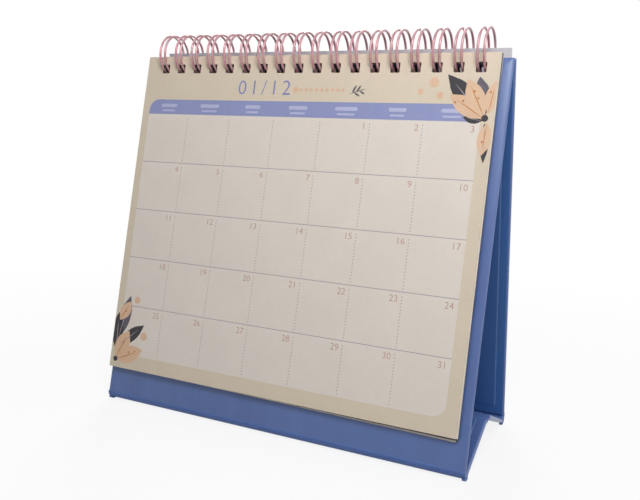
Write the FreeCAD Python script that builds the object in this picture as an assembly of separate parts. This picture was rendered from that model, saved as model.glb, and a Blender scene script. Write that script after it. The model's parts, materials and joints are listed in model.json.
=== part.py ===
import FreeCAD, Part
import math
import os

# Desk calendar on a folding easel stand: four covered boards joined by soft folds, a twin-loop
# wire binding along the top, a pad of month leaves in front and a cover leaf turned to the back.
# Millimetres. X runs along the binding, -Y is the side that is read, Z is up from the table.
# The origin is on the table, midway between the two feet. The rear half mirrors the front half.

V = FreeCAD.Vector

# ---- driving sizes of the stand
stand_width = 166.0        # along the folds
stand_depth = 68.5         # foot to foot, measured on the outer faces
panel_height = 156.4       # up the slope, from the foot corner to the top edge
top_depth = 4.8            # front to rear over the top edges
board_thickness = 1.8      # greyboard with its cover paper
edge_round = 0.85          # of the cover paper turned round the board edges
edge_ease = 4.4            # width over which handling has softened the edges at the top corners
lining_thickness = 0.2     # sheet pasted over the turn-ins, on the inner faces
lining_inset = 4.0         # bare border left round a lining
ridge_height = 12.4        # underside of the pushed-up base at its ridge, above the folds
ridge_gap = 4.4            # between the two base boards along the ridge

# ---- soft folds of cover paper
fold_radius = 3.0          # outside of the rounded fold at each foot
fold_thickness = 0.5
ear_rise = 0.6             # how far the doubled ends of a foot fold stand out
ear_width = 1.3
ear_angle = 48.0           # that an ear reaches up the front of the fold, from straight down
ear_flat = 0.1             # depth that the standing weight flattens

# ---- punching and wire
hole_count = 18
hole_pitch = 25.4 / 3
hole_size = 4.0
hole_chamfer = 0.4
wire_diameter = 1.0
wire_clearance = 0.3       # between the wire and the hole edge or board that it passes
loop_radius = 8.8          # centreline
loop_spacing = 2.5         # between the two wires of one loop
loop_rise = 2.3            # of the loop centres above the top edge of the stand panels
elbow_radius = 1.0         # where a loop turns into the straight link to the next
seam_angle = 31.5          # of the links from straight below the centres, degrees to the rear
seam_gap = 0.35            # between the links and the tips of the loops

# ---- leaves
leaf_margin = 3.6          # above the punched holes
pad_width = 160.5
pad_length = 142.0
pad_thickness = 2.6
pad_offset = -1.75         # the block of leaves is punched off centre
pad_gap = 0.35             # between the pad and the front panel
cover_width = 160.0
cover_length = 142.0
cover_thickness = 0.4
cover_reach = 7.0          # of the cover leaf's plane behind the loop centres
cover_gap = 0.3            # between the lower edge of the cover leaf and the rear panel

# ---- worked out
half_depth = stand_depth / 2
wrap_round = min(edge_round, 0.48 * board_thickness)
lean = math.asin((half_depth - top_depth / 2) / panel_height)    # of each panel from the vertical
sin_lean = math.sin(lean)
cos_lean = math.cos(lean)
wire_radius = wire_diameter / 2
up_slope = V(0, sin_lean, cos_lean)
front_out = V(0, -cos_lean, sin_lean)
foot_corner = V(0, -half_depth, ear_rise)

# The foot fold is an arc that both of its boards run off as tangents.
foot_start = fold_radius * (1 + sin_lean) / cos_lean
foot_centre = foot_corner + up_slope * foot_start - front_out * fold_radius
ridge_point = V(0, 0, ear_rise + ridge_height)
ridge_reach = ridge_point - foot_centre
base_slope = math.asin(fold_radius / ridge_reach.Length) + math.atan2(ridge_reach.z, ridge_reach.y)
base_along = V(0, math.cos(base_slope), math.sin(base_slope))
base_out = V(0, math.sin(base_slope), -math.cos(base_slope))
base_start = foot_centre + base_out * fold_radius
base_length = math.sqrt(ridge_reach.Length ** 2 - fold_radius ** 2) - ridge_gap / 2 / math.cos(base_slope)

# The loops are centred over the stand. Distances along the slope count from the foot corner.
loop_centre = V(0, 0, ear_rise + panel_height * cos_lean + loop_rise)
centre_along = (loop_centre - foot_corner).dot(up_slope)
centre_behind = -(loop_centre - foot_corner).dot(front_out)


def mirrored(shape):
    """The same piece on the rear half of the stand."""
    return shape.mirror(V(0, 0, 0), V(0, 1, 0))


def placed(shape, origin, inward, along):
    """Move a sheet drawn with its thickness along Y and its length along Z."""
    across = inward.cross(along)
    turn = FreeCAD.Rotation(across, inward, along, "YZX")
    shape.Placement = FreeCAD.Placement(origin, turn)
    return shape


def hole_centres():
    return [(i - (hole_count - 1) / 2) * hole_pitch for i in range(hole_count)]


def wire_crossing(distance):
    """How far below the loop centres the wire passes a plane at this distance from them."""
    return math.sqrt(loop_radius ** 2 - distance ** 2)


def lowest_wire(distance):
    """Lower side of the wire in a plane at this distance, down from the loop centres."""
    return wire_crossing(distance) + wire_radius * loop_radius / wire_crossing(distance)


def punched(sheet, thickness, hole_bottom):
    """Cut the row of square holes through a sheet in its own frame."""
    prism = Part.makeBox(hole_size, thickness + 2, hole_size, V(-hole_size / 2, -1, hole_bottom))
    prism = prism.makeChamfer(hole_chamfer, [e for e in prism.Edges if abs(e.tangentAt(0).y) > 0.9])
    row = []
    for x in hole_centres():
        punch = prism.copy()
        punch.translate(V(x, 0, 0))
        row.append(punch)
    return sheet.cut(Part.makeCompound(row))


def quarter_round(start, corner, end):
    """A quarter of an ellipse, tangent to both sides of the corner."""
    curve = Part.BezierCurve()
    curve.setPoles([start, corner, end])
    curve.setWeight(2, math.sqrt(0.5))
    return curve.toShape()


def board_section(ease, height):
    """Outline of a covered board, cut across: its outer face at Y 0 is eased towards the sides."""
    side = stand_width / 2
    corners = [
        # before, at and after each corner
        ((side - ease, 0), (side, 0), (side, wrap_round)),
        ((side, board_thickness - wrap_round), (side, board_thickness),
         (side - wrap_round, board_thickness)),
        ((wrap_round - side, board_thickness), (-side, board_thickness),
         (-side, board_thickness - wrap_round)),
        ((-side, wrap_round), (-side, 0), (ease - side, 0)),
    ]
    edges = []
    previous = corners[-1][2]
    for before, at, after in corners:
        edges.append(Part.makeLine(V(*previous, height), V(*before, height)))
        edges.append(quarter_round(V(*before, height), V(*at, height), V(*after, height)))
        previous = after
    return Part.Wire(edges)


def fold_to_fold_board(length):
    """A covered board that runs into a fold at both ends."""
    return Part.Face(board_section(wrap_round, 0)).extrude(V(0, 0, length))


def free_edge_board(length):
    """A covered board with a free top edge. Its outer face is eased more and more towards the top."""
    board = Part.makeLoft([board_section(wrap_round, 0), board_section(edge_ease, length)], True, True)
    left = -stand_width / 2 - 1
    outer, outer_end = V(left, 0, length - edge_ease), V(left, wrap_round, length)
    inner_end, inner = V(left, board_thickness - wrap_round, length), V(left, board_thickness, length - wrap_round)
    low_inner, low_outer = V(left, board_thickness, 0), V(left, 0, 0)
    side_view = Part.Wire([
        Part.makeLine(low_outer, outer),
        quarter_round(outer, V(left, 0, length), outer_end),
        Part.makeLine(outer_end, inner_end),
        quarter_round(inner_end, V(left, board_thickness, length), inner),
        Part.makeLine(inner, low_inner),
        Part.makeLine(low_inner, low_outer),
    ])
    return board.common(Part.Face(side_view).extrude(V(stand_width + 2, 0, 0)))


def sheet_box(width, thickness, low, high, middle=0.0):
    return Part.makeBox(width, thickness, high - low, V(middle - width / 2, 0, low))


def board_hole_bottom():
    """Along the slope, where the wire still clears the lower edge of the holes."""
    nearest = centre_behind - board_thickness - lining_thickness
    return centre_along - lowest_wire(nearest) - wire_clearance


def standing_board():
    board = free_edge_board(panel_height - foot_start)
    board = punched(board, board_thickness, board_hole_bottom() - foot_start)
    return placed(board, foot_corner + up_slope * foot_start, front_out * -1, up_slope)


def standing_lining():
    length = panel_height - foot_start
    lining = sheet_box(stand_width - 2 * lining_inset, lining_thickness, lining_inset,
                       length - wrap_round)
    lining = punched(lining, lining_thickness, board_hole_bottom() - foot_start)
    origin = foot_corner + up_slope * foot_start - front_out * board_thickness
    return placed(lining, origin, front_out * -1, up_slope)


def base_board():
    return placed(fold_to_fold_board(base_length), base_start, base_out * -1, base_along)


def base_lining():
    lining = sheet_box(stand_width - 2 * lining_inset, lining_thickness, lining_inset,
                       base_length - wrap_round)
    return placed(lining, base_start - base_out * board_thickness, base_out * -1, base_along)


def arc_band(inner, outer, start, middle, end, x, width):
    """A bent strip round the foot axis between two directions, extruded along X."""
    def at(radius, direction):
        return foot_centre + direction * radius + V(x, 0, 0)
    sides = [
        Part.Arc(at(outer, start), at(outer, middle), at(outer, end)).toShape(),
        Part.makeLine(at(outer, end), at(inner, end)),
        Part.Arc(at(inner, end), at(inner, middle), at(inner, start)).toShape(),
        Part.makeLine(at(inner, start), at(outer, start)),
    ]
    return Part.Face(Part.Wire(sides)).extrude(V(width, 0, 0))


def foot_fold():
    """Rounded fold at a foot, with the turned-in ends standing out as ears with a worn flat.

    At both ends the turned-in paper also fills the fold to the depth of the boards.
    """
    middle = (front_out + base_out).normalize()
    inner = fold_radius - fold_thickness
    fold = arc_band(inner, fold_radius, front_out, middle, base_out, -stand_width / 2, stand_width)
    spread = math.radians(ear_angle)
    first = V(0, -math.sin(spread), -math.cos(spread))
    reach = fold_radius + ear_rise + ear_flat
    below = Part.makeBox(stand_width + 2, 4 * reach, reach,
                         V(-stand_width / 2 - 1, foot_centre.y - 2 * reach, -reach))
    for x in (-stand_width / 2, stand_width / 2 - ear_width):
        ear = arc_band(inner, reach, first, V(0, 0, -1), base_out, x, ear_width)
        filling = arc_band(fold_radius - board_thickness, fold_radius, front_out, middle, base_out,
                           x, ear_width)
        fold = fold.fuse(ear).fuse(filling)
    return fold.cut(below).removeSplitter()


def ridge_fold():
    """The strip of cover paper that bridges the two base boards under the ridge."""
    low = base_start + base_along * base_length
    top = low - base_out * fold_thickness
    crest = V(0, 0, low.z - low.y * math.tan(base_slope))
    crest_top = V(0, 0, top.z - top.y * math.tan(base_slope))
    points = [low, crest, V(0, -low.y, low.z), V(0, -top.y, top.z), crest_top, top, low]
    points = [p + V(-stand_width / 2, 0, 0) for p in points]
    return Part.Face(Part.makePolygon(points)).extrude(V(stand_width, 0, 0))


def round_the_loop(angle):
    """Unit vector from the loop centres, at degrees from straight down towards the rear."""
    a = math.radians(angle)
    return V(0, math.sin(a), -math.cos(a))


def wire_section(x, angle):
    """Square section of the wire across a loop, with the area of the round one."""
    radial = round_the_loop(angle)
    half_side = math.sqrt(math.pi) * wire_radius / 2
    centre = loop_centre + radial * loop_radius + V(x, 0, 0)
    points = []
    for across, out in ((-1, -1), (1, -1), (1, 1), (-1, 1), (-1, -1)):
        points.append(centre + V(half_side * across, 0, 0) + radial * (half_side * out))
    return Part.Face(Part.makePolygon(points))


def wire_binding():
    """One wire: up and over as twin loops, back at each tip, and straight on to the next loop.

    Each stretch is drawn as a solid of its own. Their skins are then sewn end to end.
    """
    elbow_sweep = math.degrees(elbow_radius / loop_radius)
    tip_sweep = math.degrees(loop_spacing / 2 / loop_radius)
    gap_sweep = math.degrees((wire_diameter + seam_gap) / loop_radius)
    root = seam_angle - elbow_sweep
    tip = seam_angle + gap_sweep + tip_sweep
    around = 360 + root - tip
    root_axis = round_the_loop(root)
    root_centre = loop_centre + root_axis * loop_radius
    tip_axis = round_the_loop(tip)
    tip_centre = loop_centre + tip_axis * loop_radius
    link_length = hole_pitch - loop_spacing - 2 * elbow_radius
    turn = loop_spacing / 2 + elbow_radius
    stretches = []
    for x in hole_centres():
        left = wire_section(x - loop_spacing / 2, root)
        right = wire_section(x + loop_spacing / 2, root)
        tip_end = wire_section(x - loop_spacing / 2, tip)
        stretches.append(left.revolve(loop_centre, V(1, 0, 0), -around))
        stretches.append(right.revolve(loop_centre, V(1, 0, 0), -around))
        stretches.append(tip_end.revolve(tip_centre + V(x, 0, 0), tip_axis, -180))
        stretches.append(left.revolve(root_centre + V(x - turn, 0, 0), root_axis, -90))
        elbow = right.revolve(root_centre + V(x + turn, 0, 0), root_axis, 90)
        stretches.append(elbow)
        ahead = max(elbow.Faces, key=lambda face: face.CenterOfMass.x)
        if x < hole_centres()[-1]:
            stretches.append(ahead.extrude(V(link_length, 0, 0)))
    cut_ends = (min(hole_centres()) - turn, max(hole_centres()) + turn)
    section_area = wire_section(0, root).Area
    skin = []
    for stretch in stretches:
        for face in stretch.Faces:
            is_joint = abs(face.Area - section_area) < 1e-4
            is_cut_end = min(abs(face.CenterOfMass.x - end) for end in cut_ends) < 1e-4
            if not is_joint or is_cut_end:
                skin.append(face)
    shell = Part.makeShell(skin)
    shell.sewShape()
    return Part.Solid(shell)


def page_pad():
    """The month leaves as one block, parallel to the front panel."""
    behind = centre_behind + pad_gap
    hole_bottom = centre_along - lowest_wire(behind) - wire_clearance
    top = hole_bottom + hole_size + leaf_margin
    pad = sheet_box(pad_width, pad_thickness, top - pad_length, top, pad_offset)
    pad = punched(pad, pad_thickness, hole_bottom)
    return placed(pad, foot_corner + front_out * (pad_gap + pad_thickness), front_out * -1, up_slope)


def cover_leaf():
    """The turned leaf hangs on the back of the loops with its lower edge on the rear panel."""
    near = cover_reach - cover_thickness / 2
    hole_bottom = -lowest_wire(near) - wire_clearance
    top = hole_bottom + hole_size + leaf_margin
    low = top - cover_length
    open_angle = math.acos((centre_behind + cover_gap) / math.hypot(near, low)) - math.atan2(-low, near)
    slope = lean - open_angle
    leaf = sheet_box(cover_width, cover_thickness, low, top)
    leaf = punched(leaf, cover_thickness, hole_bottom)
    outward = V(0, math.cos(slope), math.sin(slope))
    upward = V(0, -math.sin(slope), math.cos(slope))
    return placed(leaf, loop_centre + outward * near, outward, upward)


nodes = {
    "front_board": standing_board(),
    "front_lining": standing_lining(),
    "front_fold": foot_fold(),
    "rear_board": mirrored(standing_board()),
    "rear_lining": mirrored(standing_lining()),
    "rear_fold": mirrored(foot_fold()),
    "base_front_board": base_board(),
    "base_front_lining": base_lining(),
    "base_rear_board": mirrored(base_board()),
    "base_rear_lining": mirrored(base_lining()),
    "ridge_fold": ridge_fold(),
    "wire_binding": wire_binding(),
    "page_pad": page_pad(),
    "cover_leaf": cover_leaf(),
}

os.makedirs("parts", exist_ok=True)
for name, shape in nodes.items():
    shape.exportStep("parts/" + name + ".step")
    box = shape.BoundBox
    print(name, "solids", len(shape.Solids), "valid", shape.isValid(), "volume", round(shape.Volume, 1),
          "x %.2f..%.2f y %.2f..%.2f z %.2f..%.2f" % (box.XMin, box.XMax, box.YMin, box.YMax,
                                                     box.ZMin, box.ZMax))
print("foot axis", foot_centre, "loop centres", loop_centre, "base slope", math.degrees(base_slope))
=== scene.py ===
import json
import math

import bpy
from mathutils import Matrix, Vector


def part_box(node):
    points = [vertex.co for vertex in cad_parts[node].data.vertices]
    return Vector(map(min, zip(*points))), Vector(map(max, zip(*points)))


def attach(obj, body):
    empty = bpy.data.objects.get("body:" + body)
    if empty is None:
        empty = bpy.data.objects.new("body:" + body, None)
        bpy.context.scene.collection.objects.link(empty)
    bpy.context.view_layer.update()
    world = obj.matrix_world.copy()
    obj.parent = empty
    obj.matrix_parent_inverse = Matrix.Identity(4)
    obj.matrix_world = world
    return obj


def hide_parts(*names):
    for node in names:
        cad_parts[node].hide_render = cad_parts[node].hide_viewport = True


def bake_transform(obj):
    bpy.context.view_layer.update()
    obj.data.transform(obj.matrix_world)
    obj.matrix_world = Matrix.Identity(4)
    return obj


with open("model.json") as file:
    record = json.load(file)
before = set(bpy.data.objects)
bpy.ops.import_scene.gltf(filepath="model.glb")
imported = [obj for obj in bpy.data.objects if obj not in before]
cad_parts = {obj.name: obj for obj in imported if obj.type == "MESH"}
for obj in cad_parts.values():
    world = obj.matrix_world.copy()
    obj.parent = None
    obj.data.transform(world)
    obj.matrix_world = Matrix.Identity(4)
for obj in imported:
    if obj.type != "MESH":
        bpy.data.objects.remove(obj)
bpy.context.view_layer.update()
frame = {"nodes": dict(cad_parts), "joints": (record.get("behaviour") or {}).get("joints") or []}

# Desk calendar on a folding stand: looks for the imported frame.
# Sizes in the dictionaries are millimetres unless a note says otherwise.

mm = 0.001
xAxis = Vector((1, 0, 0))
zAxis = Vector((0, 0, 1))
frontwards = Vector((0, -1, 0))
backwards = Vector((0, 1, 0))
facingLimit = 0.5        # a face looks some way when its normal has more than this of it


# small helpers

def linearColour(code):
    # sRGB hex to the linear values that the shaders take
    parts = [int(code[i:i + 2], 16) / 255 for i in (1, 3, 5)]
    return [p / 12.92 if p <= 0.04045 else ((p + 0.055) / 1.055) ** 2.4 for p in parts] + [1.0]


def addNode(tree, kind, settings=None, links=None):
    # settings are inputs by name or number, or properties; links are inputs by name or number
    node = tree.nodes.new(kind)
    for name, value in (settings or {}).items():
        if isinstance(name, int) or name in node.inputs:
            node.inputs[name].default_value = value
        else:
            setattr(node, name, value)
    for name, source in (links or {}).items():
        tree.links.new(source, node.inputs[name])
    return node


def startMaterial(name):
    material = bpy.data.materials.new(name)
    material.use_nodes = True
    tree = material.node_tree
    tree.nodes.clear()
    place = addNode(tree, "ShaderNodeTexCoord").outputs["Object"]
    return material, tree, place


def deselectAll():
    if bpy.context.object and bpy.context.object.mode != "OBJECT":
        bpy.ops.object.mode_set(mode="OBJECT")
    bpy.ops.object.select_all(action="DESELECT")


def takeUp(*pieces):
    # the last piece named is the active one
    deselectAll()
    for piece in pieces:
        piece.select_set(True)
        bpy.context.view_layer.objects.active = piece


def newPiece(name):
    piece = bpy.context.object
    piece.name = name
    piece.data.name = name
    return piece


def selectPoints(piece, test):
    # by place, with the piece left in edit mode
    takeUp(piece)
    bpy.ops.object.mode_set(mode="EDIT")
    bpy.ops.mesh.select_mode(type="VERT")
    bpy.ops.mesh.select_all(action="DESELECT")
    bpy.ops.object.mode_set(mode="OBJECT")
    for point in piece.data.vertices:
        point.select = test(point.co)
    bpy.ops.object.mode_set(mode="EDIT")


def anywhere(co):
    return True


def selectAllOf(piece):
    selectPoints(piece, anywhere)


def leaveEdit():
    bpy.ops.object.mode_set(mode="OBJECT")


def turnOutwards():
    # for the piece in edit mode
    bpy.ops.mesh.select_all(action="SELECT")
    bpy.ops.mesh.normals_make_consistent(inside=False)


def duplicateOf(piece, name):
    # a copy with its own mesh
    takeUp(piece)
    bpy.ops.object.duplicate(linked=False)
    return newPiece(name)


def joined(pieces, name):
    takeUp(*pieces)
    if len(pieces) > 1:
        bpy.ops.object.join()
    return newPiece(name)


def placeInMesh(piece, place=None):
    # the object ends at the origin, unturned and unscaled
    takeUp(piece)
    if place is not None:
        piece.matrix_world = place @ piece.matrix_world
    bpy.ops.object.transform_apply(location=True, rotation=True, scale=True)
    return piece


def applyModifier(piece, kind, **settings):
    takeUp(piece)
    modifier = piece.modifiers.new(kind.title(), kind)
    for name, value in settings.items():
        setattr(modifier, name, value)
    bpy.ops.object.modifier_apply(modifier=modifier.name)


def dress(piece, material):
    piece.data.materials.clear()
    piece.data.materials.append(material)


def smooth(piece, degrees):
    takeUp(piece)
    bpy.ops.object.shade_smooth_by_angle(angle=math.radians(degrees))


def sheetFrame(node, facing):
    # a flat CAD sheet as a drawing board: the matrix that lays a drawing, made with x to the
    # right, y up and z outwards, on the side that faces this way, and the sheet's size
    mesh = frame["nodes"][node].data
    face = max((p for p in mesh.polygons if p.normal.dot(facing) > facingLimit),
               key=lambda p: p.area)
    out = face.normal.normalized()
    up = (zAxis - out * out.z).normalized()
    right = up.cross(out)
    spans = []
    for axis in (right, up, out):
        reach = [point.co.dot(axis) for point in mesh.vertices]
        spans.append((min(reach), max(reach)))
    corner = right * spans[0][0] + up * spans[1][0] + out * spans[2][1]
    matrix = Matrix((right, up, out)).transposed().to_4x4()
    matrix.translation = corner
    size = [span[1] - span[0] for span in spans]
    return matrix, size


def seenDirectly(tree):
    # one for rays that show the background itself: from the camera, in reflections, through glass
    ray = addNode(tree, "ShaderNodeLightPath").outputs
    seen = addNode(tree, "ShaderNodeMath", {"operation": "MAXIMUM"},
                   {0: ray["Is Camera Ray"], 1: ray["Is Glossy Ray"]}).outputs[0]
    return addNode(tree, "ShaderNodeMath", {"operation": "MAXIMUM"},
                   {0: seen, 1: ray["Is Transmission Ray"]}).outputs[0]


# where the walls of the holes are looked for: this far out to each side, this far below the top
rowSearch = {"halfRun": 78.0, "from": 1.0, "to": 20.0}


def rowAlong(node):
    # middle of the row of holes, up the slope of a standing sheet
    up = sheetFrame(node, frontwards)[0].col[1].to_3d()
    points = [v.co for v in frame["nodes"][node].data.vertices]
    top = max(point.dot(up) for point in points)
    heights = [point.dot(up) for point in points if abs(point.x) < rowSearch["halfRun"] * mm]
    walls = [h for h in heights if rowSearch["from"] * mm < top - h < rowSearch["to"] * mm]
    return (min(walls) + max(walls)) / 2


# materials

def coverPaper(name, look):
    # Art paper with a satin laminate, wrapped round greyboard: a smooth, softly shining skin
    #     # with faint streaks where the paste pulled it, and paler at the edges: rubbed on the boards, a
    #     painted highlight on the lining's edge.
    material, tree, place = startMaterial(name)
    streakPlace = addNode(tree, "ShaderNodeMapping", {"Scale": (1.0, 0.25, look["streakStretch"])},
                          {"Vector": place}).outputs[0]
    streak = addNode(tree, "ShaderNodeTexNoise",
                     {"Scale": 1 / (look["streak"] * mm), "Detail": 3.0, "Roughness": 0.55},
                     {"Vector": streakPlace}).outputs["Fac"]
    blotch = addNode(tree, "ShaderNodeTexNoise",
                     {"Scale": 1 / (look["blotch"] * mm), "Detail": 4.0, "Roughness": 0.6},
                     {"Vector": place}).outputs["Fac"]
    grain = addNode(tree, "ShaderNodeTexNoise",
                    {"Scale": 1 / (look["grain"] * mm), "Detail": 2.0, "Roughness": 0.7},
                    {"Vector": place}).outputs["Fac"]
    tone = addNode(tree, "ShaderNodeMath", {"operation": "ADD"}, {0: streak, 1: blotch}).outputs[0]
    tone = addNode(tree, "ShaderNodeMapRange",
                   {"From Min": 0.75, "From Max": 1.25}, {"Value": tone}).outputs[0]
    colour = addNode(tree, "ShaderNodeMixRGB",
                     {"Color1": linearColour(look["deep"]), "Color2": linearColour(look["colour"])},
                     {"Fac": tone}).outputs[0]
    # painted shade: the face that a standing board turns inwards is drawn in a deeper blue for the shade
    # and the blue light inside the stand
    folded = addNode(tree, "ShaderNodeVectorMath", {"operation": "ABSOLUTE"}, {0: place}).outputs[0]
    height = addNode(tree, "ShaderNodeVectorMath", {"operation": "DOT_PRODUCT", 1: tuple(panelOut)},
                     {0: folded}).outputs["Value"]
    inner = addNode(tree, "ShaderNodeMath",
                    {"operation": "COMPARE", 1: panelFace - look["inner"] * mm,
                     2: look["innerReach"] * mm}, {0: height}).outputs[0]
    colour = addNode(tree, "ShaderNodeMixRGB", {"Color2": linearColour(look["innerColour"])},
                     {"Fac": inner, "Color1": colour}).outputs[0]
    # rubbed edges and painted highlight: the skin is paler in the last part of a millimetre at the
    # board's ends; on the boards this is wear, on the lining it is mostly a painted highlight where the
    # edge catches the light
    apart = addNode(tree, "ShaderNodeSeparateXYZ", None, {"Vector": place}).outputs
    side = addNode(tree, "ShaderNodeMath", {"operation": "ABSOLUTE"}, {0: apart["X"]}).outputs[0]
    wearAndGlint = addNode(tree, "ShaderNodeMapRange",
                  {"From Min": (look["halfWidth"] - look["wearAndGlintWidth"]) * mm,
                   "From Max": look["halfWidth"] * mm, "To Max": look["wearAndGlint"]},
                  {"Value": side}).outputs[0]
    wearAndGlint = addNode(tree, "ShaderNodeMath", {"operation": "MULTIPLY"}, {0: wearAndGlint, 1: blotch}).outputs[0]
    colour = addNode(tree, "ShaderNodeMixRGB", {"Color2": linearColour(look["worn"])},
                     {"Fac": wearAndGlint, "Color1": colour}).outputs[0]
    # the punch laid bare the greyboard inside the holes, under the skin; it is drawn dark brown, partly
    # the greyboard and partly a painted shade for the shadow inside the holes
    along = addNode(tree, "ShaderNodeVectorMath", {"operation": "DOT_PRODUCT", 1: tuple(panelUp)},
                    {0: folded}).outputs["Value"]
    bareWallInShade = addNode(tree, "ShaderNodeMath", {"operation": "LESS_THAN", 1: panelFace - look["skin"] * mm},
                   {0: height}).outputs[0]
    near = addNode(tree, "ShaderNodeMath",
                   {"operation": "COMPARE", 1: holeRow, 2: look["holeReach"] * mm},
                   {0: along}).outputs[0]
    within = addNode(tree, "ShaderNodeMath",
                     {"operation": "LESS_THAN", 1: (look["halfWidth"] - look["holeEnd"]) * mm},
                     {0: side}).outputs[0]
    for part in (near, within):
        bareWallInShade = addNode(tree, "ShaderNodeMath", {"operation": "MULTIPLY"}, {0: bareWallInShade, 1: part}).outputs[0]
    colour = addNode(tree, "ShaderNodeMixRGB", {"Color2": linearColour(look["coreInShade"])},
                     {"Fac": bareWallInShade, "Color1": colour}).outputs[0]
    roughness = addNode(tree, "ShaderNodeMapRange",
                        {"From Min": 0.3, "From Max": 0.7, "To Min": look["roughness"] - look["uneven"],
                         "To Max": look["roughness"] + look["uneven"]}, {"Value": streak}).outputs[0]
    waves = addNode(tree, "ShaderNodeBump",
                    {"Strength": 1.0, "Distance": look["waveDepth"] * mm}, {"Height": streak}).outputs[0]
    bump = addNode(tree, "ShaderNodeBump",
                   {"Strength": 1.0, "Distance": look["grainDepth"] * mm},
                   {"Height": grain, "Normal": waves}).outputs[0]
    shader = addNode(tree, "ShaderNodeBsdfPrincipled",
                     {"IOR": 1.5, "Coat Weight": look["coat"], "Coat Roughness": look["coatRoughness"]},
                     {"Base Color": colour, "Roughness": roughness, "Normal": bump}).outputs[0]
    addNode(tree, "ShaderNodeOutputMaterial", None, {"Surface": shader})
    return material


def printedPaper(name, look):
    # Uncoated offset paper, or ink soaked into it: dull, with a faint cloudy formation
    # and fibres that only show as a slight tooth.
    material, tree, place = startMaterial(name)
    cloud = addNode(tree, "ShaderNodeTexNoise",
                    {"Scale": 1 / (look["cloud"] * mm), "Detail": 5.0, "Roughness": 0.6},
                    {"Vector": place}).outputs["Fac"]
    fibrePlace = addNode(tree, "ShaderNodeMapping", {"Scale": (0.35, 1.0, 1.0)},
                         {"Vector": place}).outputs[0]
    fibre = addNode(tree, "ShaderNodeTexNoise",
                    {"Scale": 1 / (look["fibre"] * mm), "Detail": 3.0, "Roughness": 0.7},
                    {"Vector": fibrePlace}).outputs["Fac"]
    mixed = addNode(tree, "ShaderNodeMath", {"operation": "ADD"}, {0: cloud, 1: fibre}).outputs[0]
    tone = addNode(tree, "ShaderNodeMapRange", {"From Min": 0.7, "From Max": 1.3},
                   {"Value": mixed}).outputs[0]
    colour = addNode(tree, "ShaderNodeMixRGB",
                     {"Color1": linearColour(look["deep"]), "Color2": linearColour(look["colour"])},
                     {"Fac": tone}).outputs[0]
    roughness = addNode(tree, "ShaderNodeMapRange",
                        {"From Min": 0.3, "From Max": 0.7, "To Min": look["roughness"] - look["uneven"],
                         "To Max": look["roughness"] + look["uneven"]}, {"Value": fibre}).outputs[0]
    bump = addNode(tree, "ShaderNodeBump",
                   {"Strength": 1.0, "Distance": look["tooth"] * mm}, {"Height": fibre}).outputs[0]
    shader = addNode(tree, "ShaderNodeBsdfPrincipled", {"IOR": 1.47},
                     {"Base Color": colour, "Roughness": roughness, "Normal": bump}).outputs[0]
    addNode(tree, "ShaderNodeOutputMaterial", None, {"Surface": shader})
    return material


def coatedWire(name, look):
    # Spring wire with a baked pink enamel: a smooth thin skin, glossy, a little darker
    # where the coat is thin, with fine drawing lines left from the die.
    material, tree, place = startMaterial(name)
    thin = addNode(tree, "ShaderNodeTexNoise",
                   {"Scale": 1 / (look["thinCoat"] * mm), "Detail": 3.0, "Roughness": 0.6},
                   {"Vector": place}).outputs["Fac"]
    tone = addNode(tree, "ShaderNodeMapRange", {"From Min": 0.35, "From Max": 0.65},
                   {"Value": thin}).outputs[0]
    colour = addNode(tree, "ShaderNodeMixRGB",
                     {"Color1": linearColour(look["deep"]), "Color2": linearColour(look["colour"])},
                     {"Fac": tone}).outputs[0]
    fine = addNode(tree, "ShaderNodeTexNoise",
                   {"Scale": 1 / (look["orangePeel"] * mm), "Detail": 2.0, "Roughness": 0.5},
                   {"Vector": place}).outputs["Fac"]
    roughness = addNode(tree, "ShaderNodeMapRange",
                        {"From Min": 0.3, "From Max": 0.7, "To Min": look["smoothest"],
                         "To Max": look["dullest"]}, {"Value": fine}).outputs[0]
    bump = addNode(tree, "ShaderNodeBump",
                   {"Strength": 1.0, "Distance": look["peelDepth"] * mm}, {"Height": fine}).outputs[0]
    shader = addNode(tree, "ShaderNodeBsdfPrincipled",
                     {"Metallic": look["metallic"], "Coat Weight": look["coat"],
                      "Coat Roughness": look["coatRoughness"]},
                     {"Base Color": colour, "Roughness": roughness, "Normal": bump}).outputs[0]
    addNode(tree, "ShaderNodeOutputMaterial", None, {"Surface": shader})
    return material


# the rear panel mirrors the front one, so both are read with y made positive
boardPlace = sheetFrame("front_board", frontwards)[0]
panelOut = Vector((0, -boardPlace.col[2].y, boardPlace.col[2].z))
panelUp = Vector((0, -boardPlace.col[1].y, boardPlace.col[1].z))
panelFace = Vector((0, -boardPlace.translation.y, boardPlace.translation.z)).dot(panelOut)
holeRow = rowAlong("front_board")
halfBoard = max(abs(c.x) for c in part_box("front_board")) / mm
halfLining = max(abs(c.x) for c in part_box("front_lining")) / mm
coverLook = {
    "colour": "#5671ab", "deep": "#4c66a1", "worn": "#8f9cc8", "wearAndGlint": 0.35, "wearAndGlintWidth": 0.7,
    "halfWidth": halfBoard, "streak": 9.0, "streakStretch": 0.12, "blotch": 28.0,
    "grain": 0.8,            # real grit is near 0.2, drawn coarser so that it shows
    "waveDepth": 0.10, "grainDepth": 0.012, "roughness": 0.40, "uneven": 0.06,
    "coat": 0.5, "coatRoughness": 0.35,
    # the bare core's dark brown is partly a painted shade for the shadow inside the holes
    "coreInShade": "#3a302b", "skin": 0.2,
    "holeReach": 2.3, "holeEnd": 4.0,    # bare walls lie this near the row, and no nearer the ends
    # painted shade: the deeper blue drawn on the inward face of a standing board
    "inner": 2.0, "innerReach": 0.28, "innerColour": "#4470b0",
}
# the lining's pale edge is mostly a painted highlight where its edge catches the light
liningLook = dict(coverLook, colour="#4470b0", deep="#3b65a6", innerColour="#406bab", worn="#98b4e2",
                  halfWidth=halfLining, wearAndGlintWidth=0.6, wearAndGlint=1.2, roughness=0.8, coat=0.0)
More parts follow.
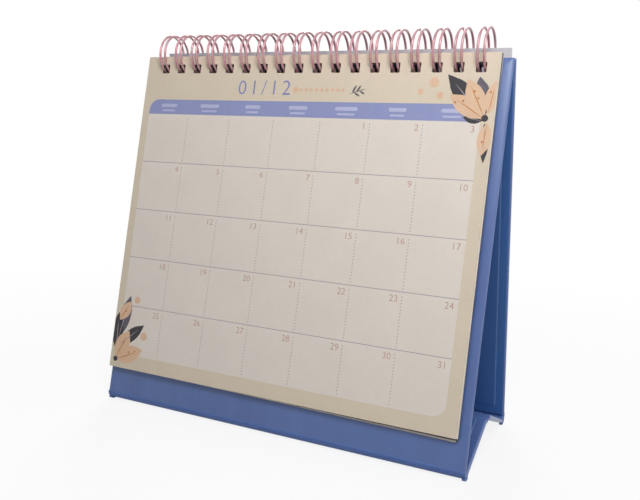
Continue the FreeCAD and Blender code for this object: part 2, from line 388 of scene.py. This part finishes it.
# painted light: the folds' skin is the same paper drawn a lighter blue, to make up for the shade where
# the fold turns under
foldLightenedLook = dict(coverLook, colour="#5c7abb", deep="#516fb1", blotch=12.0, streak=5.0, waveDepth=0.05,
                coat=0.1, roughness=0.62)
leafLook = {"colour": "#e9dbc6", "deep": "#e3d4be", "cloud": 14.0, "fibre": 0.6, "tooth": 0.01,
            "roughness": 0.62, "uneven": 0.05}
# the cut edges are drawn greyer than the faces, partly a painted shade for the narrow gaps between the
# stacked leaves
cutEdgeShadedLook = dict(leafLook, colour="#cfc8b8", deep="#aea694", cloud=6.0)
whiteLook = dict(leafLook, colour="#f3eae0", deep="#ede3d9")
headerLook = dict(leafLook, colour="#9ba2d0", deep="#949bc9", roughness=0.55)
ruleLook = dict(leafLook, colour="#b8aab4", deep="#ada0aa")
dotLook = dict(leafLook, colour="#bbb1b5", deep="#b0a6aa")
numeralLook = dict(leafLook, colour="#c99a8c", deep="#bd8e80")
markLook = dict(leafLook, colour="#c6c9e8", deep="#bdc0e1")
headingLook = dict(leafLook, colour="#7f87c4", deep="#767ebc")
peachLook = dict(leafLook, colour="#eecbac", deep="#e6bf9e")
slateLook = dict(leafLook, colour="#6d6770", deep="#5b5660")
inkLook = dict(leafLook, colour="#3c383e", deep="#2e2b31")
amberLook = dict(leafLook, colour="#d08a50", deep="#c07a42")
cardLook = dict(leafLook, colour="#f0ecee", deep="#e6e2e5", cloud=20.0, roughness=0.5)
wireLook = {"colour": "#d2a0a6", "deep": "#bf8890", "thinCoat": 3.0, "orangePeel": 0.5,
            "peelDepth": 0.006, "smoothest": 0.25, "dullest": 0.38, "metallic": 0.25,
            "coat": 0.3, "coatRoughness": 0.2}

cover = coverPaper("satinLaminatedPaper", coverLook)
lining = coverPaper("liningPaper", liningLook)
foldSkin = coverPaper("creasedLaminatedPaperLightened", foldLightenedLook)
leafPaper = printedPaper("offsetPaperBeigeTint", leafLook)
cutEdgeShaded = printedPaper("cutOffsetPaperShaded", cutEdgeShadedLook)
whiteInk = printedPaper("offsetPaperBare", whiteLook)
headerInk = printedPaper("periwinkleInk", headerLook)
ruleInk = printedPaper("lilacGreyInk", ruleLook)
dotInk = printedPaper("paleGreyInk", dotLook)
numeralInk = printedPaper("rosewoodInk", numeralLook)
markInk = printedPaper("paleLilacInk", markLook)
headingInk = printedPaper("violetInk", headingLook)
peachInk = printedPaper("peachInk", peachLook)
slateInk = printedPaper("slateInk", slateLook)
darkInk = printedPaper("charcoalInk", inkLook)
amberInk = printedPaper("amberInk", amberLook)
coverCard = printedPaper("laminatedGreyCard", cardLook)
wirePink = coatedWire("pinkEnamelledWire", wireLook)
print("materials made")


# boards and linings keep their CAD shape

for node in ("front_board", "rear_board", "base_front_board", "base_rear_board"):
    dress(frame["nodes"][node], cover)
for node in ("front_lining", "rear_lining", "base_front_lining", "base_rear_lining"):
    dress(frame["nodes"][node], lining)
dress(frame["nodes"]["cover_leaf"], coverCard)
print("boards dressed")


# soft folds: finer copies of the CAD strips; the ridge's two halves ride on the base boards

foldShape = {"mergeWithin": 0.005, "smoothBelow": 40}       # degrees


def foldCopy(node, name):
    piece = duplicateOf(frame["nodes"][node], name)
    for key in list(piece.keys()):
        del piece[key]
    piece.parent = None
    selectAllOf(piece)
    bpy.ops.mesh.remove_doubles(threshold=foldShape["mergeWithin"] * mm)
    bpy.ops.mesh.tris_convert_to_quads()
    leaveEdit()
    dress(piece, foldSkin)
    smooth(piece, foldShape["smoothBelow"])
    return piece


frontFold = foldCopy("front_fold", "frontFoldSkin")
rearFold = foldCopy("rear_fold", "rearFoldSkin")
ridgeHalves = []
for name, isFront in (("frontRidgeSkin", True), ("rearRidgeSkin", False)):
    half = foldCopy("ridge_fold", name)
    selectAllOf(half)
    bpy.ops.mesh.bisect(plane_co=(0, 0, 0), plane_no=(0, 1, 0), use_fill=True,
                        clear_outer=isFront, clear_inner=not isFront)
    leaveEdit()
    ridgeHalves.append(half)

for fold, node, panel, base, facing in ((frontFold, "front_fold", "front_panel", "base_front", -1),
                                        (rearFold, "rear_fold", "rear_panel", "base_rear", 1)):
    low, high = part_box(node)
    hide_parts(node)
    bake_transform(fold)
for half, body in zip(ridgeHalves, ("base_front", "base_rear")):
    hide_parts("ridge_fold")
    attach(half, body)
print("folds made")


# wire binding: one loop is spun from a round section, then copied along the holes

wire = {"diameter": 1.0, "sides": 12, "loopRadius": 8.8, "spacing": 2.5, "elbow": 1.0, "seam": 31.5,
        "seamGap": 0.35, "count": 18, "pitch": 25.4 / 3, "loopSteps": 44, "tipSteps": 8, "elbowSteps": 5,
        "mergeWithin": 0.01, "smoothBelow": 50}         # seam and smoothBelow are degrees


def holeCentres():
    return [(i - (wire["count"] - 1) / 2) * wire["pitch"] * mm for i in range(wire["count"])]


def carryRound(centre, axis, degrees, steps):
    # the open end that is selected is carried round an axis; spin counts its angle the other way
    bpy.ops.mesh.spin(steps=steps, angle=-math.radians(degrees), center=centre, axis=axis)


def makeLoop():
    radius = wire["loopRadius"]
    seam = math.radians(wire["seam"])
    root = seam - wire["elbow"] / radius
    tip = seam + (wire["diameter"] + wire["seamGap"] + wire["spacing"] / 2) / radius
    around = 360 - math.degrees(tip - root)
    loopCentre = Vector(next(j for j in frame["joints"] if j["name"] == "pages_turn")["pos_m"])

    # angles run from straight below the loop centres towards the rear
    rootAxis = Vector((0, math.sin(root), -math.cos(root)))
    tipAxis = Vector((0, math.sin(tip), -math.cos(tip)))
    onwards = Vector((0, math.cos(root), math.sin(root)))
    rootCentre = loopCentre + rootAxis * radius * mm
    tipCentre = loopCentre + tipAxis * radius * mm
    turn = (wire["spacing"] / 2 + wire["elbow"]) * mm
    halfLink = xAxis * (wire["pitch"] / 2 * mm - turn)

    deselectAll()
    start = rootCentre + onwards * wire["elbow"] * mm - xAxis * turn - halfLink
    bpy.ops.mesh.primitive_circle_add(vertices=wire["sides"], radius=wire["diameter"] / 2 * mm,
                                      location=start, rotation=(0, math.pi / 2, 0))
    loop = newPiece("wireLoop")
    placeInMesh(loop)
    selectAllOf(loop)
    bpy.ops.mesh.extrude_region_move(TRANSFORM_OT_translate={"value": halfLink})
    carryRound(rootCentre - xAxis * turn, rootAxis, 90, wire["elbowSteps"])
    carryRound(loopCentre, xAxis, -around, wire["loopSteps"])
    carryRound(tipCentre, tipAxis, -180, wire["tipSteps"])
    carryRound(loopCentre, xAxis, around, wire["loopSteps"])
    carryRound(rootCentre + xAxis * turn, rootAxis, 90, wire["elbowSteps"])
    bpy.ops.mesh.extrude_region_move(TRANSFORM_OT_translate={"value": halfLink})
    leaveEdit()
    return loop


def makeBinding():
    loop = makeLoop()
    loops = [loop]
    for x in holeCentres()[1:]:
        copy = duplicateOf(loop, "wireLoop")
        copy.location.x = x
        loops.append(copy)
    loop.location.x = holeCentres()[0]
    binding = placeInMesh(joined(loops, "wireBinding"))
    selectAllOf(binding)
    bpy.ops.mesh.remove_doubles(threshold=wire["mergeWithin"] * mm)
    low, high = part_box("wire_binding")
    for end, side in ((low.x, -1), (high.x, 1)):
        # the run is snipped off just past the outer elbows
        bpy.ops.mesh.select_all(action="SELECT")
        bpy.ops.mesh.bisect(plane_co=(end, 0, 0), plane_no=(side, 0, 0), use_fill=True, clear_outer=True)
    turnOutwards()
    leaveEdit()
    dress(binding, wirePink)
    smooth(binding, wire["smoothBelow"])
    return binding


binding = makeBinding()
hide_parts("wire_binding")
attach(binding, "front_panel")
print("wire binding made")


# month leaves: one leaf is punched, then copied down through the pad

leaf = {"count": 13, "thickness": 0.16, "hole": 4.0, "holeRound": 0.4, "margin": 3.6, "inkDepth": 0.05,
        "wobble": 0.1, "wobbleSide": 2.4, "wobbleDown": 1.7,     # radians from one leaf to the next
        "fanTop": 0.1, "fanFoot": 0.2, "fanned": 6,     # each of the first six reaches further right
        # the white leaves are a painted light for their edges that show; the dark ones are slate all over
        "edgeReach": 0.1, "white": (2, 3, 4), "dark": (5, 6, 7, 8),
        # how far down and inwards the lower right corners of the last leaves hang
        "slips": {6: (0.5, 0.4), 7: (0.8, 0.5), 8: (0.9, 0.4), 9: (1.2, 1.2), 10: (1.6, 1.7),
                  11: (1.7, 1.5), 12: (1.5, 1.6)}}
padPlace, padSize = sheetFrame("page_pad", frontwards)
leafWidth, leafHeight, padThickness = padSize
leafStep = (padThickness - leaf["inkDepth"] * mm) / leaf["count"]


def punchRow(middle, top):
    # square punches with slightly round corners, one for each loop
    deselectAll()
    size = leaf["hole"] * mm
    bpy.ops.mesh.primitive_cube_add(size=size, location=(0, top - leaf["margin"] * mm - size / 2, 0))
    punch = placeInMesh(newPiece("punch"))
    applyModifier(punch, "BEVEL", width=leaf["holeRound"] * mm, segments=2, limit_method="NONE")
    punches = []
    for x in holeCentres():
        copy = duplicateOf(punch, "punch")
        copy.location.x = middle + x
        punches.append(copy)
    bpy.data.objects.remove(punch)
    return placeInMesh(joined(punches, "punches"))


def punchOut(sheet, punches):
    applyModifier(sheet, "BOOLEAN", operation="DIFFERENCE", solver="EXACT", object=punches)


def shiftPoints(sheet, test, x, y):
    selectPoints(sheet, test)
    bpy.ops.transform.translate(value=(x, y, 0))
    leaveEdit()


def makeLeaves():
    punches = punchRow(-padPlace.translation.x, leafHeight)
    deselectAll()
    thickness = leaf["thickness"] * mm
    reach = leaf["edgeReach"] * mm
    bpy.ops.mesh.primitive_cube_add(size=1, location=(leafWidth / 2, leafHeight / 2, -thickness / 2),
                                    scale=(leafWidth, leafHeight, thickness))
    first = placeInMesh(newPiece("leaf"))
    punchOut(first, punches)
    bpy.data.objects.remove(punches)
    others = []
    for i in range(leaf["count"]):
        copy = duplicateOf(first, "leaf")
        copy.location.z = -leaf["inkDepth"] * mm - i * leafStep
        placeInMesh(copy)
        # the leaves lie a little unevenly, fan out to the right, and hang askew at the lower right
        aside = leaf["wobble"] * math.sin(leaf["wobbleSide"] * i) * mm
        down = leaf["wobble"] * math.cos(leaf["wobbleDown"] * i) * mm
        if i > 0:
            fanned = min(i, leaf["fanned"]) * mm
            shiftPoints(copy, lambda co: co.x > leafWidth - reach and co.y > leafHeight / 2,
                        aside + leaf["fanTop"] * fanned, 0)
            shiftPoints(copy, lambda co: co.x > leafWidth - reach and co.y <= leafHeight / 2,
                        aside + leaf["fanFoot"] * fanned, 0)
            shiftPoints(copy, lambda co: co.y < reach, 0, down)
        if i in leaf["slips"]:
            drop, inwards = leaf["slips"][i]
            shiftPoints(copy, lambda co: co.x > leafWidth / 2 and co.y < 2 * reach,
                        -inwards * mm, -drop * mm)
        others.append(copy)
    bpy.data.objects.remove(first)
    return others[0], others[1:]


def inkFace(piece, broad, cut):
    # one paper or ink for the broad sides, one for the cut edges
    dress(piece, broad)
    piece.data.materials.append(cut)
    for side in piece.data.polygons:
        side.material_index = 0 if abs(side.normal.z) > facingLimit else 1


topLeaf, lowerLeaves = makeLeaves()
topLeaf.name = "topLeaf"
inkFace(topLeaf, leafPaper, cutEdgeShaded)
for month, piece in enumerate(lowerLeaves, 1):
    # some leaves are slate on faces and edges, which gives the dark line under the top leaf; the white
    # ones are the bare paper, a painted light that makes the strips of them that show beside and below
    # the top leaf come out pale
    if month in leaf["dark"]:
        inkFace(piece, slateInk, slateInk)
    elif month in leaf["white"] or month > max(leaf["dark"]):
        inkFace(piece, whiteInk, cutEdgeShaded)
    else:
        inkFace(piece, leafPaper, cutEdgeShaded)
padLeaves = joined(lowerLeaves, "lowerLeaves")
for piece in (topLeaf, padLeaves):
    placeInMesh(piece, padPlace)
    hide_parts("page_pad")
    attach(piece, "pages")
print("leaves made")


# print on the top leaf, as thin fields of ink

page = {"left": 3.65, "right": 4.65, "foot": 6.3, "row": 21.9, "rows": 5, "columns": 7, "bar": 6.6,
        "round": 5.5, "barRound": 4.9, "cornerReach": 1.0, "roundSteps": 8, "tuckedUnder": 0.5,
        "ink": 0.012, "rule": 0.28, "dash": 0.5, "dashGap": 0.75, "dashWide": 0.32, "dashFrom": 1.0,
        "dashTo": 21.3, "numeral": 3.7, "numeralSide": 1.5, "numeralTop": 1.4, "numeralThin": 0.04,
        "digitTall": 0.7, "textSteps": 3,       # a digit's height as a share of the text size
        "days": 31, "firstColumn": 4}           # the month begins in the fifth column
sideX = page["left"] * mm
panelEnd = leafWidth - page["right"] * mm
columnWide = (panelEnd - sideX) / page["columns"]
footY = page["foot"] * mm
rowTall = page["row"] * mm
barLow = footY + page["rows"] * rowTall
barHigh = barLow + page["bar"] * mm
inkLevel = -leaf["inkDepth"] * mm


def layerHeight(layer):
    return inkLevel + layer * page["ink"] * mm


def thickenInk(piece):
    selectAllOf(piece)
    bpy.ops.mesh.extrude_region_move(TRANSFORM_OT_translate={"value": (0, 0, page["ink"] * mm)})
    turnOutwards()
    leaveEdit()
    return piece


def inkField(name, left, low, right, high, layer, roundAt=None):
    # a flat field of ink; the corners that roundAt picks are rounded by its second value
    deselectAll()
    bpy.ops.mesh.primitive_plane_add(size=1, location=((left + right) / 2, (low + high) / 2,
                                                       layerHeight(layer)))
    field = newPiece(name)
    field.scale = (right - left, high - low, 1)
    placeInMesh(field)
    if roundAt:
        selectPoints(field, roundAt[0])
        bpy.ops.mesh.bevel(offset=roundAt[1] * mm, segments=page["roundSteps"], affect="VERTICES")
        leaveEdit()
    return thickenInk(field)


def arrayOf(piece, step, count):
    applyModifier(piece, "ARRAY", use_relative_offset=False, use_constant_offset=True,
                  constant_offset_displace=step, count=count)


def lettering(name, text, x, y, size, thin, layer=1, align="RIGHT", spread=1.0):
    # the text is extruded both ways from its middle
    deselectAll()
    bpy.ops.object.text_add(location=(x, y, layerHeight(layer + 0.5)))
    piece = bpy.context.object
    piece.data.body = text
    piece.data.size = size * mm
    piece.data.align_x = align
    piece.data.space_character = spread
    piece.data.offset = -thin * mm
    piece.data.resolution_u = page["textSteps"]
    piece.data.extrude = page["ink"] * mm / 2
    bpy.ops.object.convert(target="MESH")
    return newPiece(name)


def printOn(piece, ink, place=padPlace, body="pages"):
    dress(piece, ink)
    placeInMesh(piece, place)
    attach(piece, body)


cornerReach = page["cornerReach"] * mm
panel = inkField("whitePanel", sideX, footY, panelEnd, barLow + page["tuckedUnder"] * mm, 0,
                 (lambda co: co.y < footY + cornerReach, page["round"]))
printOn(panel, whiteInk)
bar = inkField("headerBar", sideX, barLow, panelEnd, barHigh, 1,
               (lambda co: co.y > barHigh - cornerReach, page["barRound"]))
printOn(bar, headerInk)

halfRule = page["rule"] / 2 * mm
firstRule = footY + rowTall
rules = inkField("rowRules", sideX, firstRule - halfRule, panelEnd, firstRule + halfRule, 1)
arrayOf(rules, (0, rowTall, 0), page["rows"] - 1)
printOn(rules, ruleInk)

dashStep = (page["dash"] + page["dashGap"]) * mm
dashCount = int((page["dashTo"] - page["dashFrom"]) * mm / dashStep)
halfDash = page["dashWide"] / 2 * mm
firstDash = footY + page["dashFrom"] * mm
dashX = sideX + columnWide
dashes = inkField("columnDashes", dashX - halfDash, firstDash, dashX + halfDash,
                  firstDash + page["dash"] * mm, 1)
arrayOf(dashes, (0, dashStep, 0), dashCount)
arrayOf(dashes, (0, rowTall, 0), page["rows"])
arrayOf(dashes, (columnWide, 0, 0), page["columns"] - 1)
printOn(dashes, dotInk)

numerals = []
numeralDrop = (page["numeralTop"] + page["numeral"] * page["digitTall"]) * mm
for day in range(1, page["days"] + 1):
    row, column = divmod(day - 1 + page["firstColumn"], page["columns"])
    right = sideX + (column + 1) * columnWide - page["numeralSide"] * mm
    foot = barLow - row * rowTall - numeralDrop
    numerals.append(lettering("numeral", str(day), right, foot, page["numeral"], page["numeralThin"]))
printOn(joined(numerals, "dayNumerals"), numeralInk)
print("grid and numerals printed")

heading = {"text": "01/12", "x": 49.5, "above": 2.7, "size": 9.0, "thin": 0.12, "spread": 1.3, "dots": 10,
           "dotRadius": 0.75, "firstDotRadius": 1.275, "dotStep": 2.4, "dotX": 77.6, "dotRise": 2.2}
blades = {"points": 24, "across": 1.0,
          # points this near the middle line are drawn out so many times, one after the other
          "drawnOut": ((0.2, 1.12), (0.01, 1.14))}


def inkDot(x, y, radius, layer=1, points=20):
    deselectAll()
    bpy.ops.mesh.primitive_circle_add(vertices=points, radius=radius * mm, fill_type="NGON",
                                      location=(x * mm, y * mm, layerHeight(layer)))
    return thickenInk(placeInMesh(newPiece("dot")))


def inkLeaf(x, y, angle, length, wide, layer=1):
    # a plain leaf: a circle drawn out to a point at each end, its stalk end at x, y
    deselectAll()
    bpy.ops.mesh.primitive_circle_add(vertices=blades["points"], radius=blades["across"] / 2 * mm,
                                      fill_type="NGON")
    blade = newPiece("blade")
    drawn = blades["across"]
    for near, stretch in blades["drawnOut"]:
        selectPoints(blade, lambda co: abs(co.x) < near * mm)
        bpy.ops.transform.resize(value=(1, stretch, 1))
        leaveEdit()
        drawn *= stretch
    blade.scale = (wide / blades["across"], length / drawn, 1)
    blade.location = (0, length / 2 * mm, 0)
    placeInMesh(blade)
    blade.rotation_euler.z = math.radians(angle)
    blade.location = (x * mm, y * mm, layerHeight(layer))
    return thickenInk(placeInMesh(blade))


headingY = barHigh / mm + heading["above"]
printOn(lettering("monthNumeral", heading["text"], heading["x"] * mm, headingY * mm, heading["size"],
                  heading["thin"], align="LEFT", spread=heading["spread"]), headingInk)
monthDots = []
for i in range(heading["dots"]):
    radius = heading["dotRadius"] if i else heading["firstDotRadius"]
    monthDots.append(inkDot(heading["dotX"] + i * heading["dotStep"], headingY + heading["dotRise"],
                            radius))
printOn(joined(monthDots, "monthDots"), peachInk)

# two short bars for each column: their length and how it varies, then height in the bar and thickness
mark = {"length": 8.6, "vary": 1.4, "turn": 2.1, "shorter": 0.8, "rounding": 0.45, "layer": 2,
        "upper": (3.2, 1.5), "lower": (1.3, 0.8)}
marks = []
for column in range(page["columns"]):
    middle = sideX + (column + 0.5) * columnWide
    length = (mark["length"] + mark["vary"] * math.sin(mark["turn"] * column)) * mm
    for share, (rise, tall) in ((1, mark["upper"]), (mark["shorter"], mark["lower"])):
        half = share * length / 2
        low = barLow + rise * mm
        marks.append(inkField("mark", middle - half, low, middle + half, low + tall * mm, mark["layer"],
                              (anywhere, tall * mark["rounding"])))
printOn(joined(marks, "columnMarks"), markInk)
print("heading printed")

# sprigs of plain leaves and berries: ink, layer, then x, y, angle, length and width of each leaf
# from its stalk end, and x, y and radius of each berry
sprigs = {
    "slate": (slateInk, 2, [(157.2, 117.6, 12, 15.6, 6.4), (3.0, 13.0, -12, 20.0, 6.4)], []),
    "twig": (slateInk, 2, [(101.6, 125.6, -72, 8.0, 0.35), (103.2, 126.1, -25, 3.8, 0.9),
                           (105.0, 126.6, -32, 3.2, 0.8), (104.0, 126.3, -118, 3.0, 0.8),
                           (106.4, 127.0, -120, 2.6, 0.7)], []),
    "charcoal": (darkInk, 3, [(157.0, 117.2, 43, 22.5, 7.2), (156.6, 116.2, 80, 7.5, 3.4),
                              (157.6, 115.5, 184, 15.0, 3.4), (2.6, 7.5, 3, 17.0, 6.2),
                              (3.4, 9.5, -50, 17.0, 5.4)], []),
    "peach": (peachInk, 4, [(157.2, 117.4, 28, 16.5, 7.0), (157.0, 117.0, 57, 16.5, 6.6),
                            (158.6, 115.6, 175, 12.5, 5.2), (158.4, 118.8, -8, 12.5, 5.2),
                            (3.0, 4.2, -24, 14.0, 7.4), (3.4, 3.4, -66, 15.0, 7.4),
                            (2.6, 21.0, -30, 10.5, 5.4)],
              [(136.6, 130.6, 1.9), (139.4, 125.6, 1.4), (131.6, 127.0, 1.2), (17.0, 15.5, 1.8),
               (11.0, 31.0, 1.5)]),
    "amber": (amberInk, 6, [], [(152.4, 127.2, 0.5), (148.6, 123.6, 0.45), (145.6, 123.0, 0.4),
                                (158.6, 127.0, 0.4), (157.4, 108.4, 0.4), (154.2, 124.6, 0.4),
                                (6.4, 11.5, 0.45), (9.8, 7.4, 0.45), (13.0, 8.4, 0.4), (5.4, 25.4, 0.4)]),
    "calyx": (darkInk, 7, [], [(157.4, 117.2, 1.3), (2.9, 3.6, 1.2)]),
}
# each leaf or berry lies a touch above the one before, and each layer of sprigs above the last,
# both as shares of the ink's thickness, and ink stops at a margin inside the cut edges
stack = {"touch": 0.03, "layer": 0.3, "margin": 0.15}
# a rib's length and width are shares of its leaf's, and it lies just above that leaf's layer
rib = {"length": 0.8, "width": 0.055, "onDark": 2.15, "onPale": 2.45}


def inkGroup(name, leaves, berries, layer):
    parts = [inkLeaf(*spot, layer + stack["touch"] * i) for i, spot in enumerate(leaves)]
    for i, spot in enumerate(berries, len(leaves)):
        parts.append(inkDot(*spot, layer + stack["touch"] * i))
    return joined(parts, name)


def trimToLeaf(piece):
    margin = stack["margin"] * mm
    for middle, out in (((margin, 0, 0), (-1, 0, 0)), ((leafWidth - margin, 0, 0), (1, 0, 0)),
                        ((0, margin, 0), (0, -1, 0)), ((0, leafHeight - margin, 0), (0, 1, 0))):
        selectAllOf(piece)
        bpy.ops.mesh.bisect(plane_co=middle, plane_no=out, use_fill=True, clear_outer=True)
        leaveEdit()


for name, (ink, layer, leaves, berries) in sprigs.items():
    sprig = inkGroup(name + "Sprig", leaves, berries, 1 + layer * stack["layer"])
    trimToLeaf(sprig)
    printOn(sprig, ink)

# a midrib along each leaf: pale on the dark ones, amber on the pale ones
for name, ink, kinds, level in (("darkLeafRibs", ruleInk, ("slate", "charcoal"), rib["onDark"]),
                                ("paleLeafRibs", amberInk, ("peach",), rib["onPale"])):
    ribs = []
    for kind in kinds:
        for x, y, angle, length, wide in sprigs[kind][2]:
            ribs.append((x, y, angle, length * rib["length"], wide * rib["width"]))
    printOn(inkGroup(name, ribs, [], level), ink)
print("sprigs printed")


# the turned cover leaf: a plain wreath of leaves in a pale field, read from behind

coverPlace, coverSize = sheetFrame("cover_leaf", backwards)
coverWide, coverTall = coverSize[0] / mm, coverSize[1] / mm
wreath = {"field": 8.0, "round": 7.0, "holes": 16.0, "disc": 46.0, "discPoints": 64, "leaves": 22,
          "ring": 36.0, "leafLong": 12.5, "leafWide": 4.6, "berry": 0.9,
          "lean": {"slate": 62, "peach": 118}}        # degrees from its spoke of the ring
inkLevel = 0.0           # here the ink lies on the card's own face


def printOnCover(piece, ink):
    printOn(piece, ink, coverPlace, "cover")


margin = wreath["field"] * mm
field = inkField("coverField", margin, margin, coverWide * mm - margin,
                 (coverTall - wreath["holes"]) * mm, 0, (anywhere, wreath["round"]))
printOnCover(field, headerInk)
middleX = coverWide / 2
middleY = (coverTall - wreath["holes"] + wreath["field"]) / 2
disc = inkDot(middleX, middleY, wreath["disc"], 1, wreath["discPoints"])
disc.name = "coverDisc"
printOnCover(disc, whiteInk)
rounds = {"slate": [], "peach": []}
berries = []
for i in range(wreath["leaves"]):
    kind = "slate" if i % 2 else "peach"
    around = 360 / wreath["leaves"] * i
    x = middleX - wreath["ring"] * math.sin(math.radians(around))
    y = middleY + wreath["ring"] * math.cos(math.radians(around))
    rounds[kind].append((x, y, around + wreath["lean"][kind], wreath["leafLong"], wreath["leafWide"]))
    berries.append((x, y, wreath["berry"]))
for kind, ink, layer in (("slate", slateInk, 2), ("peach", peachInk, 3)):
    printOnCover(inkGroup(kind + "Wreath", rounds[kind], [], layer), ink)
printOnCover(inkGroup("wreathBerries", [], berries, 4), amberInk)
print("cover printed")


# studio, in metres and watts: a lamp is its place, size, power and the height that it aims at
studio = {"floor": 3.0, "shadowFrom": 0.1, "shadowReach": 0.4, "shadowGlow": 0.86, "ambient": 0.09,
          "lamps": {"key": ((0.162, -0.29, 0.40), 0.18, 1.36, 0.09),
                    "back": ((-0.35, 0.85, 0.6), 0.5, 6.0, 0.08),
                    "right": ((0.9, 0.3, 0.45), 0.5, 1.3, 0.08),
                    "low": ((0.75, -0.35, 0.12), 0.4, 0.4, 0.08),
                    "left": ((-0.9, 0.3, 0.45), 0.5, 1.3, 0.08)}}

deselectAll()
bpy.ops.mesh.primitive_plane_add(size=studio["floor"], location=(0, 0, 0))
floor = newPiece("floor")


def studioFloor():
    # pale card: white to the camera and to reflections, plain grey to the object's own shading
    material, tree, place = startMaterial("paleFloorCard")
    dull = addNode(tree, "ShaderNodeBsdfDiffuse", {"Color": linearColour("#c0c0c0")}).outputs[0]
    pale = addNode(tree, "ShaderNodeBsdfDiffuse", {"Color": linearColour("#fafafa")}).outputs[0]
    glow = addNode(tree, "ShaderNodeEmission", {"Strength": 1.0}).outputs[0]
    # the shadow is kept near the object and fades out into the white round it
    away = addNode(tree, "ShaderNodeVectorMath", {"operation": "LENGTH"}, {0: place}).outputs["Value"]
    fade = addNode(tree, "ShaderNodeMapRange",
                   {"From Min": studio["shadowFrom"], "From Max": studio["shadowReach"],
                    "To Min": studio["shadowGlow"], "To Max": 1.0}, {"Value": away}).outputs[0]
    bright = addNode(tree, "ShaderNodeMixShader", None, {"Fac": fade, 1: pale, 2: glow}).outputs[0]
    both = addNode(tree, "ShaderNodeMixShader", None,
                   {"Fac": seenDirectly(tree), 1: dull, 2: bright}).outputs[0]
    addNode(tree, "ShaderNodeOutputMaterial", None, {"Surface": both})
    return material


dress(floor, studioFloor())

for name, (spot, size, power, aim) in studio["lamps"].items():
    deselectAll()
    bpy.ops.object.light_add(type="AREA", location=spot)
    lamp = bpy.context.object
    lamp.name = name + "Lamp"
    lamp.data.size = size
    lamp.data.energy = power
    lamp.rotation_euler = (zAxis * aim - Vector(spot)).to_track_quat("-Z", "Y").to_euler()

world = bpy.data.worlds.new("softRoom")
bpy.context.scene.world = world
world.use_nodes = True
room = world.node_tree
room.nodes.clear()
dim = addNode(room, "ShaderNodeBackground",
              {"Color": (1, 1, 1, 1), "Strength": studio["ambient"]}).outputs[0]
white = addNode(room, "ShaderNodeBackground", {"Color": (1, 1, 1, 1), "Strength": 1.0}).outputs[0]
light = addNode(room, "ShaderNodeMixShader", None,
                {"Fac": seenDirectly(room), 1: dim, 2: white}).outputs[0]
addNode(room, "ShaderNodeOutputWorld", None, {"Surface": light})

# camera: place and nearest in metres, turn, down and roll in degrees
view = {"place": (0.14056, -0.28267, 0.12313), "turn": 25.53, "down": 8.96, "roll": 2.07,
        "lens": 41.28, "sensor": 36.0, "nearest": 0.01}
deselectAll()
bpy.ops.object.camera_add(location=view["place"])
camera = bpy.context.object
turn, down, roll = (math.radians(view[k]) for k in ("turn", "down", "roll"))
ahead = Vector((-math.sin(turn) * math.cos(down), math.cos(turn) * math.cos(down), -math.sin(down)))
right = Vector((math.cos(turn), math.sin(turn), 0))
upward = right.cross(ahead)
camX = right * math.cos(roll) + upward * math.sin(roll)
camY = upward * math.cos(roll) - right * math.sin(roll)
camera.rotation_euler = Matrix((camX, camY, -ahead)).transposed().to_euler()
camera.data.lens = view["lens"]
camera.data.sensor_width = view["sensor"]
camera.data.clip_start = view["nearest"]
bpy.context.scene.camera = camera
bpy.context.scene.view_settings.view_transform = "Standard"
print("studio set")
